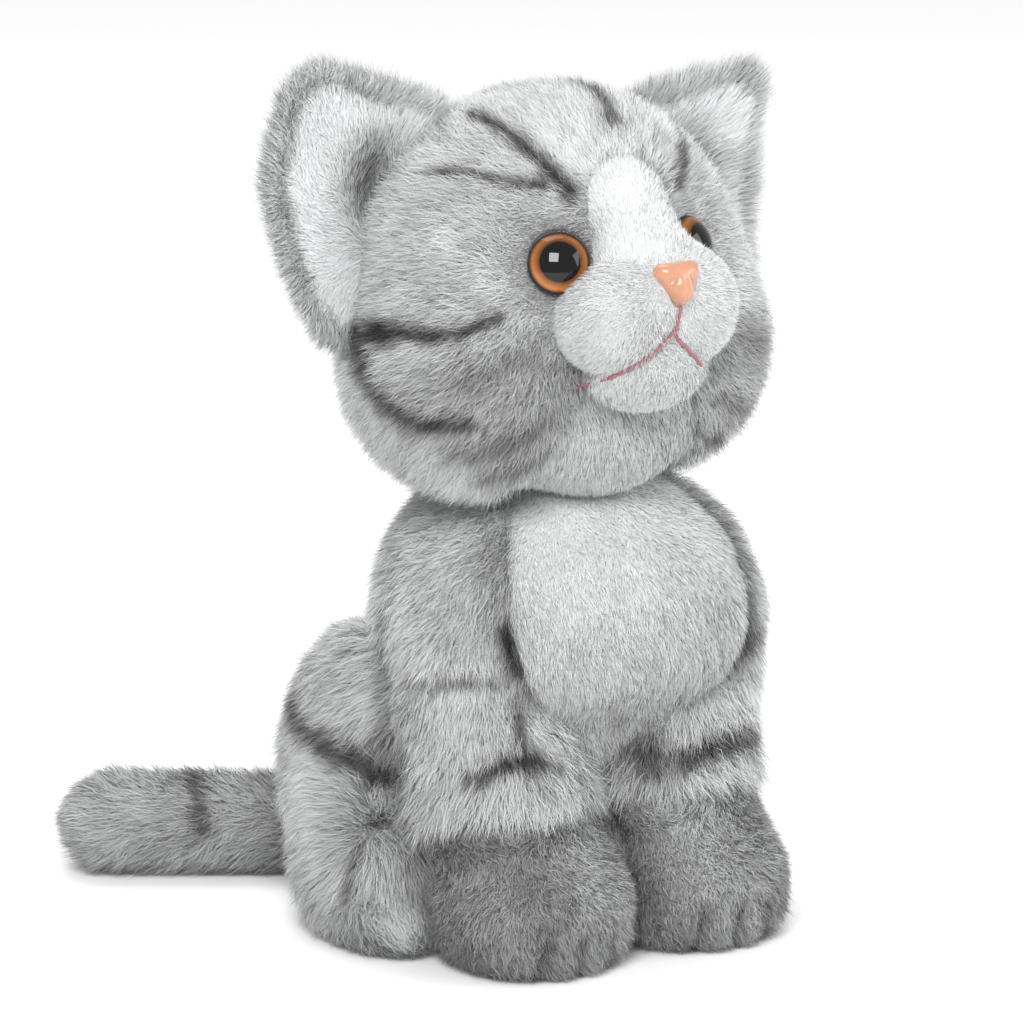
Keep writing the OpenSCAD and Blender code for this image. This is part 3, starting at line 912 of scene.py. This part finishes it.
def not_in(*rules):
    return lambda q: np.max([-rule(q) for rule in rules], axis=0)


def on_side(side, middle=0.0):
    return lambda p: -side * (p[:, 0] - middle)


head_points, head_tris = surface(face, (0, -8, -2), 80)
head_shape = (from_head(head_points), head_tris)
cranium = panel(head_shape, outside_neck, outermost(skull))
muzzle_mid = from_head(np.array([[0, -56, -3.0]]))[0]

sew(
    "forehead", "head", ["forehead_panel"], panel(cranium, in_head(forehead_rule)),
    "crown", back_from_face, forehead_tone, clear_of_eyes,
)
sew(
    "head_back", "head", ["head_back_panel"], panel(cranium, in_head(back_rule)),
    "head", back_from_face, head_tone,
)
sew(
    "throat", "head", ["throat_panel"], panel(cranium, in_head(throat_rule)),
    "white", constant(0, 0.1, -1), white_in_painted_shade(0.12),
)
sew(
    "bridge", "head", ["nose_bridge"], panel(head_shape, outermost(bridge)),
    "face", constant(0, 0.3, 1), white_tone, clear_of_nose,
)
sew(
    "muzzle", "head", ["muzzle_skin", "muzzle_stuffing"], panel(head_shape, outermost(muzzle)),
    "face", away_from(*muzzle_mid), white_tone, clear_of_nose,
)
sew(
    "chin", "head", ["chin_skin"], panel(head_shape, outermost(chin)),
    "face", constant(0, 0, -1), white_in_painted_shade(0.06),
)
cheeks = panel(cranium, in_head(not_in(throat_rule, forehead_rule, back_rule)))
for side, word in SIDES.items():
    cheek = panel(cheeks, on_side(side, HEAD_POS[0]))
    sew(
        "cheek_" + word, "head", ["head_side_" + word], cheek,
        "head", back_from_face, head_tone, clear_of_eyes,
    )
add_fill("fill_head", "head", head_shape, ["head_stuffing"])

# ---- Ears ----

EAR_OUTLINES = {
    LEFT: round_outline([(33, 33, 9), (57, 41, 8), (53, 22, 13), (53, 0, 11)], (48, 22)),
    RIGHT: round_outline([(33, 33, 9), (64.5, 40.5, 10), (62.5, 24, 13), (53, -5, 10)], (50, 23)),
}


def ear_hollow(across, up):
    """The depth of the cup of an ear, deepest beside the head."""
    return 5.0 * bell((across - 41.5) / 6.5, (up - 18) / 11)


def from_ears(p):
    """Points drawn about the middle of the head, turned with the tilt of the pair of ears."""
    x, y, z = p.T
    c, s = math.cos(EAR_TILT), math.sin(EAR_TILT)
    return np.stack([x * c + z * s, y, z * c - x * s], 1) + HEAD_POS


def ear_leaf(side, inset, r_front, r_back, rings=34, spokes=120):
    """A cupped leaf with a rounded rim, between two radii about a point in front of the ear."""
    share = np.linspace(0, 1, rings + 1)[1:]
    angle = np.linspace(0, TAU, spokes, endpoint=False)
    outline = EAR_OUTLINES[side]
    rim = outline.rim(angle) - inset
    f, t = (a.ravel() for a in np.meshgrid(share, np.arange(spokes), indexing="ij"))
    across = outline.centre[0] + f * rim[t] * np.cos(angle[t])
    up = outline.centre[1] + f * rim[t] * np.sin(angle[t])
    middle, swell = (r_front + r_back) / 2, (r_back - r_front) / 2
    thick = swell * (1 - f**8) ** 0.5
    layers = []
    for face_side in (-1, 1):
        r = middle + face_side * thick
        y = EAR_CUP[1] + np.sqrt(r * r - (across - EAR_CUP[0]) ** 2 - (up - EAR_CUP[2]) ** 2)
        y = y + ear_hollow(across, up)
        layers.append(np.stack([side * across, y, up], 1))
    i, j = (a.ravel() for a in np.meshgrid(np.arange(rings - 1), np.arange(spokes), indexing="ij"))
    k = (j + 1) % spokes
    a, b, c, d = i * spokes + j, (i + 1) * spokes + j, (i + 1) * spokes + k, i * spokes + k
    ring_tris = np.concatenate([np.stack([a, b, c], 1), np.stack([a, c, d], 1)])
    n = rings * spokes
    centres = [layer[:spokes].mean(0) for layer in layers]
    j = np.arange(spokes)
    fan = [np.stack([j, (j + 1) % spokes, np.full(spokes, 2 * n)], 1)[:, ::-1]]
    fan.append(np.stack([j + n, (j + 1) % spokes + n, np.full(spokes, 2 * n + 1)], 1))
    tris = np.concatenate([ring_tris, ring_tris[:, ::-1] + n, *fan])
    last = (rings - 1) * spokes
    tris = np.where((tris >= last + n) & (tris < 2 * n), tris - n, tris)
    points = np.concatenate([*layers, centres])
    a, b, c = (points[tris[:, i]] for i in range(3))
    if dot(a, np.cross(b, c)).sum() < 0:
        tris = tris[:, ::-1]
    return from_ears(points), tris


def clear_of_head(p):
    return 1.0 - skull(to_head(p))


def ear_place(p, side):
    """Across, up and how far behind the cup's centre a point is."""
    q = p - HEAD_POS
    c, s = math.cos(EAR_TILT), math.sin(EAR_TILT)
    across, up = side * (q[:, 0] * c - q[:, 2] * s), q[:, 0] * s + q[:, 2] * c
    back = q[:, 1] - EAR_CUP[1] - ear_hollow(across, up)
    return across, up, length(np.stack([across - EAR_CUP[0], back, up - EAR_CUP[2]], 1))


def ear_size(p, side):
    """Full fur on the back and the rim, none where the lining covers the cloth."""
    across, up, depth = ear_place(p, side)
    under = EAR_OUTLINES[side](np.stack([across, up], 1)) < -7
    return np.where(under & (depth < EAR_SEAM_R + 1), 0, 1)


def lining_size(p, side):
    """Fur on the front only."""
    return np.where(ear_place(p, side)[2] < EAR_SEAM_R - 1, 1, 0)


def lining_tone(p, side):
    """White, with painted shade in the fold beside the head, a softer one beyond it, and over the left ear's
    lower part.
    """
    across, up, _ = ear_place(p, side)
    fold = bell((across - 42) / 10, (up - 22) / 14)
    shade = bell((across - 49) / 8, (up - 27) / 9)
    lower = step(34, 27, up) if side == LEFT else 0
    return 0.955 - 0.2 * fold - 0.11 * shade - 0.1 * lower


for side, word in SIDES.items():
    body = "ear_" + word
    comb = away_from(*from_ears(np.array([[side * 39.0, 6, 10]]))[0])
    back = panel(ear_leaf(side, 0, EAR_SEAM_R, EAR_BACK_R), clear_of_head)
    front = panel(ear_leaf(side, 5, EAR_FRONT_R, EAR_SEAM_R), clear_of_head)
    sew(
        body, body, ["ear_back_" + word], back, "ear", comb, head_tone,
        for_side(ear_size, side), thickness=0,
    )
    sew(
        "lining_" + word, body, ["ear_lining_" + word], front, "lining", comb,
        for_side(lining_tone, side), for_side(lining_size, side), thickness=0,
    )

# ---- Body ----

bib_outline = round_outline([(0, 101, 26), (0, 88, 33.5), (0, 54.5, 10)], (0, 82))


def bib_rule(p):
    low = rod(p * [1, 0, 1], (PAW_SHIFT, 0, 4), (PAW_SHIFT, 0, 50), 18.5, 18.5)
    return np.maximum(np.minimum(bib_outline(p[:, [0, 2]]), low), p[:, 1])


def seat_rule(p):
    oval = length((p[:, :2] - [0, 20]) / [28, 27]) - 1
    return np.maximum(oval * 27, p[:, 2] - 3)


def fur_down(p):
    return np.stack([p[:, 0] * 0.012, (p[:, 1] - 10) * 0.008, -np.ones(len(p))], 1)


def body_size(p):
    """Fur that thins out under the legs and the haunches, and none inside the head."""
    under = legs(p)
    long = np.where(under < -9, 0, 0.45 + 0.55 * step(-8, -2, under))
    return np.where((face(to_head(p)) < -3) | (p[:, 2] < 1.2), 0, long)


torso_shape = surface(torso, (0, 12, 50), 80)


def bib_tone(p):
    """White greyed by painted shade towards the bib's point, grey fur below it, and painted shade by the
    forelegs.
    """
    below = step(-2, 2, bib_outline(p[:, [0, 2]]))
    # Painted shade: the white darkens downwards where the chest turns under and recedes between the legs
    tone = np.interp(p[:, 2], [52, 66, 84, 108], [0.75, 0.78, 0.82, 0.915]) + 0.012 * ripple(p, 12, 40)
    return painted_shade_by_legs(p, tone + (0.7 - tone) * below, reach=3.0)


bib = panel(torso_shape, bib_rule)
sew("bib", "torso", ["bib"], bib, "white", constant(0, 0, -1), bib_tone, body_size)
sew("seat", "torso", ["seat_panel"], panel(torso_shape, seat_rule), None, None, body_tone)
flanks = panel(torso_shape, not_in(bib_rule), not_in(seat_rule))
for side, word in SIDES.items():
    sew(
        "flank_" + word, "torso", ["body_side_" + word], panel(flanks, on_side(side)),
        "coat", fur_down, flank_tone, body_size,
    )
add_fill("fill_torso", "torso", torso_shape, ["body_stuffing"])

POUCH_POS = (0, 29, 17)


def pouch(p):
    return ball(p, POUCH_POS, (24, 19, 12)) + 0.5 * ripple(p, 9, 41)


pouch_shape = surface(pouch, POUCH_POS, 24)
add_fill("pouch", "torso", pouch_shape, ["pellet_pouch", "pellet_fill"], POUCH)


def neck_cap(p):
    out = p - NECK_POS
    return np.arctan2(length(out[:, :2]), out[:, 2]) - math.radians(25)


neck_shape = surface(lambda p: length(p - NECK_POS) - NECK_CAP_R, NECK_POS, 30)
neck_mesh = shape_mesh("fill_neck", panel(neck_shape, neck_cap))
neck_fill = new_object("fill_neck", neck_mesh, FILL, "neck", ["neck_stuffing"])
wad = neck_fill.modifiers.new("wad", "SOLIDIFY")
wad.thickness = 4 * MM
wad.offset = -1

# ---- Hind legs ----


def outside_torso(p):
    return -1.5 - torso(p)


def haunch_comb(p, side):
    """Fur that turns out of a whorl near the foot and hangs down at the back."""
    out = p - np.array([side * 56, 12, 30])
    near = bell(length(out) / 26)[:, None]
    return unit(out) * near + (DOWN + [0, 0.35, 0]) * (1 - near)


def haunch_size(p, side):
    buried = np.minimum(torso(p), foreleg(p, side))
    return np.where((buried < -2) | (p[:, 2] < 0.8), 0, 1)


def outside_haunch(p, side):
    return -1 - haunch(p, side)


for side, word in SIDES.items():
    whole = surface(for_side(haunch, side), (side * 40, 26, 34), 56)
    sew(
        "haunch_" + word, "torso", ["haunch_skin_" + word], panel(whole, outside_torso),
        "long", for_side(haunch_comb, side), flank_tone, for_side(haunch_size, side), body_tone,
    )
    add_fill("fill_haunch_" + word, "torso", whole, ["haunch_stuffing_" + word])
    foot = surface(for_side(hind_foot, side), (side * 45, 17, 8), 24)
    sew(
        "hindfoot_" + word, "torso", ["hindfoot_" + word],
        panel(foot, outside_torso, for_side(outside_haunch, side)),
        "coat", constant(side * 0.4, -1, -0.4), body_tone, for_side(haunch_size, side),
    )

# ---- Forelegs ----


def below_cuff(p):
    """Height below the seam between leg and paw, which is higher in front."""
    return 36 + 8 * step(0, -24, p[:, 1]) - p[:, 2]


def leg_comb(p, side):
    """Fur that hangs down the leg and flares out at the cuff."""
    flare = step(58, 40, p[:, 2])[:, None]
    out = p - np.array([paw_mid(side), -9, 0])
    out[:, 2] = 0
    return DOWN + unit(out) * 0.75 * flare


def leg_size(p):
    return np.where(torso(p) < -5, 0, 0.8 + 0.5 * step(58, 44, p[:, 2]))


def paw_comb(p, side):
    out = p - np.array([paw_mid(side), 2, 40])
    out[:, 2] *= 0.8
    return out


def paw_size(p, side):
    return np.where(p[:, 2] < 0.8, 0, 1 + 0.7 * step(14, 4, p[:, 2]) - 0.3 * toe_grooves(p, side))


def toe_tone(p, side):
    # Painted shade in the grooves between the toes and beside the other paw
    return painted_shade_by_legs(p, paw_tone(p), [-side], 8.0) * (1 - 0.3 * toe_grooves(p, side))


for side, word in SIDES.items():
    body = "foreleg_" + word
    whole = surface(for_side(foreleg, side), (paw_mid(side), -9, 40), 60, stretch=2.4)
    sew(
        body, body, ["foreleg_skin_" + word], panel(whole, below_cuff),
        "long", for_side(leg_comb, side), body_tone, leg_size,
    )
    sew(
        "paw_" + word, body, ["forepaw_skin_" + word], panel(whole, not_in(below_cuff)),
        "paw", for_side(paw_comb, side), for_side(toe_tone, side), for_side(paw_size, side),
    )
    add_fill("fill_" + body, body, whole, ["foreleg_stuffing_" + word])

# ---- Tail ----

tail_way = unit(TAIL_TIP - TAIL_ROOT)
tail_mid = (TAIL_ROOT + TAIL_TIP) / 2
tail_shape = surface(tail, tail_mid, 56, axis=tail_way, stretch=3.5)


def tail_size(p):
    return np.where((torso(p) < -2) | (p[:, 2] < 0.8), 0, 1)


tail_comb = constant(*tail_way)
sew("tail", "tail", ["tail_skin"], tail_shape, "coat", tail_comb, tail_tone, tail_size)
add_fill("fill_tail", "tail", tail_shape, ["tail_stuffing"])

# ---- Eyes, nose and stitches ----

HEAD_MATRIX = Matrix.Translation(Vector(HEAD_POS)) @ Matrix.Rotation(-HEAD_PITCH, 4, "X")


def head_place(position, turn):
    """Where something sits on the head: its matrix, from a place in the head's frame and turns in degrees."""
    turn = Euler([math.radians(a) for a in turn], "XYZ").to_matrix().to_4x4()
    return HEAD_MATRIX @ Matrix.Translation(Vector(position)) @ turn


def placed(points, matrix):
    m = np.array(matrix, float)
    return points @ m[:3, :3].T + m[:3, 3]


def tube_tris(rows, spokes):
    """Triangles over rows of points set in closed rings, and over two end points that follow them."""
    j = np.arange(spokes)
    k = (j + 1) % spokes
    tris = []
    for a in range(0, (rows - 1) * spokes, spokes):
        b = a + spokes
        tris += [np.stack([a + j, a + k, b + k], 1), np.stack([a + j, b + k, b + j], 1)]
    last = (rows - 1) * spokes
    tris.append(np.stack([k, j, np.full(spokes, rows * spokes)], 1))
    tris.append(np.stack([last + j, last + k, np.full(spokes, rows * spokes + 1)], 1))
    return np.concatenate(tris)


def turned(profile, spokes):
    """A closed solid turned round Z from a profile of (radius, height) that starts and ends on the axis."""
    angle = np.linspace(0, TAU, spokes, endpoint=False)
    inner = profile[1:-1]
    ring = np.stack([np.cos(angle), np.sin(angle)], 1)
    points = [np.concatenate([r * ring, np.full((spokes, 1), z)], 1) for r, z in inner]
    points.append(np.array([[0, 0, profile[0][1]], [0, 0, profile[-1][1]]]))
    return np.concatenate(points), tube_tris(len(inner), spokes)


def eye_profile():
    """The dome of a safety eye, from the middle of its back round its rim to its top."""
    r_ball = EYE_D * 0.66
    low = 5.5 - r_ball
    top = [(r, low + math.sqrt(r_ball**2 - r * r)) for r in np.linspace(EYE_D / 2 - 0.25, 0, 22)]
    return [(0, 0.05), (EYE_D / 2 - 0.3, 0.05), (EYE_D / 2, 0.3), (EYE_D / 2, 1.7), *top]


for side, word in SIDES.items():
    place = head_place(eye_spot(side), (0, 0, side * 25))
    place = place @ Matrix.Rotation(math.radians(90 - 6), 4, "X")
    points, tris = turned(eye_profile(), 96)
    mesh = shape_mesh("eye_" + word, (placed(points, place), tris))
    flat_map = mesh.uv_layers.new(name="OFBake")
    flat_map.data.foreach_set("uv", (points[tris.ravel()][:, :2] / EYE_SPAN + 0.5).astype(np.float32).ravel())
    new_object("eye_" + word, mesh, EYE, "head", ["eye_dome_" + word])


def surface_point(solid, start, way, reach=80.0):
    """Where a ray from outside a solid first meets it."""
    start, way = np.array(start, float), unit(np.array(way, float))
    along = np.linspace(0, reach, 1600)
    inside = solid(start + along[:, None] * way) < 0
    return start + along[np.argmax(inside)] * way


nose_outline = round_outline([(-4.3, 3, 2.0), (4.3, 3, 2.0), (0, -2.7, 2.5)], (0, 0.6))


def nose_shape():
    """The moulded nose: a rounded triangle, crowned, with a soft groove below and two nostrils."""
    rings, spokes = 26, 96
    angle = np.linspace(0, TAU, spokes, endpoint=False)
    rim = nose_outline.rim(angle)
    points = []
    for f in np.linspace(0, 1, rings + 1)[1:]:
        x = f * rim * np.cos(angle)
        y = nose_outline.centre[1] + f * rim * np.sin(angle)
        z = 3.6 * (1 - f**3.2) ** 0.6 - 0.6
        for nostril in SIDES:
            z = z - 0.9 * bell((x - nostril * 2.9) / 1.1, (y + 0.2) / 0.9)
        z = z - 0.5 * bell(x / 0.5) * step(1.0, -2.5, y)
        points.append(np.stack([x, y, z], 1))
    points.append(points[-1] * [0.98, 0.98, 1] - [0, 0, 3.0])
    points = np.concatenate([*points, [[0, 0.6, 3.0]], [[0, 0.6, -3.4]]])
    y = surface_point(face, (NOSE_X, -80, NOSE_Z), (0, 1, 0))[1] - 0.5
    place = head_place((NOSE_X, y, NOSE_Z), (90 - 18, 0, 0))
    return placed(points, place), tube_tris(rings + 1, spokes)[:, ::-1]


new_object("nose_tip", shape_mesh("nose_tip", nose_shape()), NOSE, "head", ["nose"])


def stitches(name, lines, radius, body, material, replaced):
    """Embroidery: each line is a row of rounded stitches that overlap like cord."""
    spokes, rows = 10, 7
    ring = np.linspace(0, TAU, spokes, endpoint=False)
    points, tris = [], []
    for line in lines:
        for a, b in zip(line[:-1], line[1:]):
            way = unit(b - a)
            side_way = unit(np.cross(way, [0.3, 0.9, 0.2]))
            up = np.cross(side_way, way)
            tris.append(tube_tris(rows, spokes) + sum(len(x) for x in points))
            for t in np.linspace(0, 1, rows):
                r = radius * math.sin(math.pi * (0.12 + 0.76 * t)) ** 0.5
                around = np.cos(ring)[:, None] * side_way + np.sin(ring)[:, None] * up
                points.append(a + (b - a) * t + r * around)
            points.append(np.array([a - way * radius * 0.2, b + way * radius * 0.2]))
    mesh = shape_mesh(name, (np.concatenate(points), np.concatenate(tris)))
    new_object(name, mesh, material, body, replaced)


# How far each side of the mouth reaches out and down
MOUTH_REACH = {LEFT: (8.0, 9.0), RIGHT: (18.5, 10.5)}


def threads_on(solid, start_y, rows, out):
    """Rows of (across, up) dropped straight back on a solid's front, then moved out of it a little."""
    lines = []
    for row in rows:
        spots = [surface_point(solid, (x, start_y, z), (0, 1, 0)) for x, z in row]
        lines.append(np.array(spots) - [0, out, 0])
    return lines


def mouth_lines():
    """The mouth: a line down from the nose, which parts into two."""
    rows = [[(NOSE_X, z) for z in np.linspace(-10.5, -17.5, 6)]]
    for side, (reach, fall) in MOUTH_REACH.items():
        steps = np.linspace(0, 1, 13)
        rows.append([(side * reach * t + NOSE_X, -17.5 - fall * t**0.85) for t in steps])
    return [from_head(line) for line in threads_on(face, -80, rows, 1.0)]


stitches("mouth_thread", mouth_lines(), 0.45, "head", PINK, ["mouth_stitch"])
for side, word in SIDES.items():
    rows = [[(paw_mid(side) + x, z) for z in np.linspace(4, 11, 4)] for x in TOE_X]
    toes = threads_on(for_side(paw_part, side), -60, rows, 0.6)
    replaced = ["toe_stitches_" + word]
    stitches("toes_" + word, toes, 0.55, "foreleg_" + word, DARK_THREAD, replaced)
ladder = []
for z in np.arange(58, 83, 3.0):
    row = [surface_point(torso, (x, 80, z), (0, -1, 0)) + [0, 0.5, 0] for x in (-2, 0, 2)]
    ladder.append(np.array(row))
stitches("back_closing", ladder, 0.4, "torso", GREY_THREAD, ["closing_stitch"])

INNER_PARTS = {"eye_back": BLACK, "eye_washer": WHITE_PLASTIC, "nose_washer": WHITE_PLASTIC}
for node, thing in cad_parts.items():
    for part, material in INNER_PARTS.items():
        if node.startswith(part):
            thing.data.materials.clear()
            thing.data.materials.append(material)

# ---- Floor, light and camera ----


def stage_material():
    m = Nodes("floor_white", roughness=0.7, specular_ior_level=0.2)
    shade = m.ramp(m.noise(3.0), [(0.0, 0.94), (1.0, 0.97)])
    m.put(shade, m.shader.inputs["Base Color"])
    return m.material


def plain_stage():
    """A wide pale floor, flat on every side of the object."""
    reach = 7.0
    mesh = bpy.data.meshes.new("floor")
    corners = [(-reach, -reach, 0), (reach, -reach, 0), (reach, reach, 0), (-reach, reach, 0)]
    mesh.from_pydata(corners, [], [(0, 1, 2, 3)])
    mesh.materials.append(stage_material())
    linked("floor", mesh)


# Name, place and size in metres, and power in watts
LAMPS = [
    ("key", (-1.1, -1.3, 1.5), 0.95, 42),
    ("fill", (1.4, -1.3, 0.8), 1.4, 21),
    ("top", (0.1, 0.7, 1.8), 1.2, 12),
]
AIM = (0, 0, 0.1)
SKY_STRENGTH = 0.58


def soft_light(name, position, target, size, power):
    data = bpy.data.lights.new(name, "AREA")
    data.shape = "SQUARE"
    data.size = size
    data.energy = power
    lamp = linked(name, data)
    lamp.location = position
    lamp.rotation_euler = (Vector(target) - Vector(position)).to_track_quat("-Z", "Y").to_euler()


def camera():
    """A long lens from the cat's front right, a little above it."""
    azimuth, elevation, distance, lens = math.radians(-33), math.radians(13.5), 2.0, 287.5
    target = Vector((-0.0090, 0.0145, 0.1050))
    back = Vector((
        math.sin(azimuth) * math.cos(elevation), -math.cos(azimuth) * math.cos(elevation), math.sin(elevation)
    ))
    data = bpy.data.cameras.new("camera")
    data.lens = lens
    data.clip_start, data.clip_end = 0.1, 20
    eye = linked("camera", data)
    eye.location = target + back * distance
    eye.rotation_euler = (-back).to_track_quat("-Z", "Y").to_euler()
    bpy.context.scene.camera = eye


plain_stage()
for name, position, size, power in LAMPS:
    soft_light(name, position, AIM, size, power)
camera()
world = bpy.data.worlds.new("studio")
world.use_nodes = True
world.node_tree.nodes["Background"].inputs["Color"].default_value = (1, 1, 1, 1)
world.node_tree.nodes["Background"].inputs["Strength"].default_value = SKY_STRENGTH
bpy.context.scene.world = world
bpy.context.scene.view_settings.view_transform = "Standard"
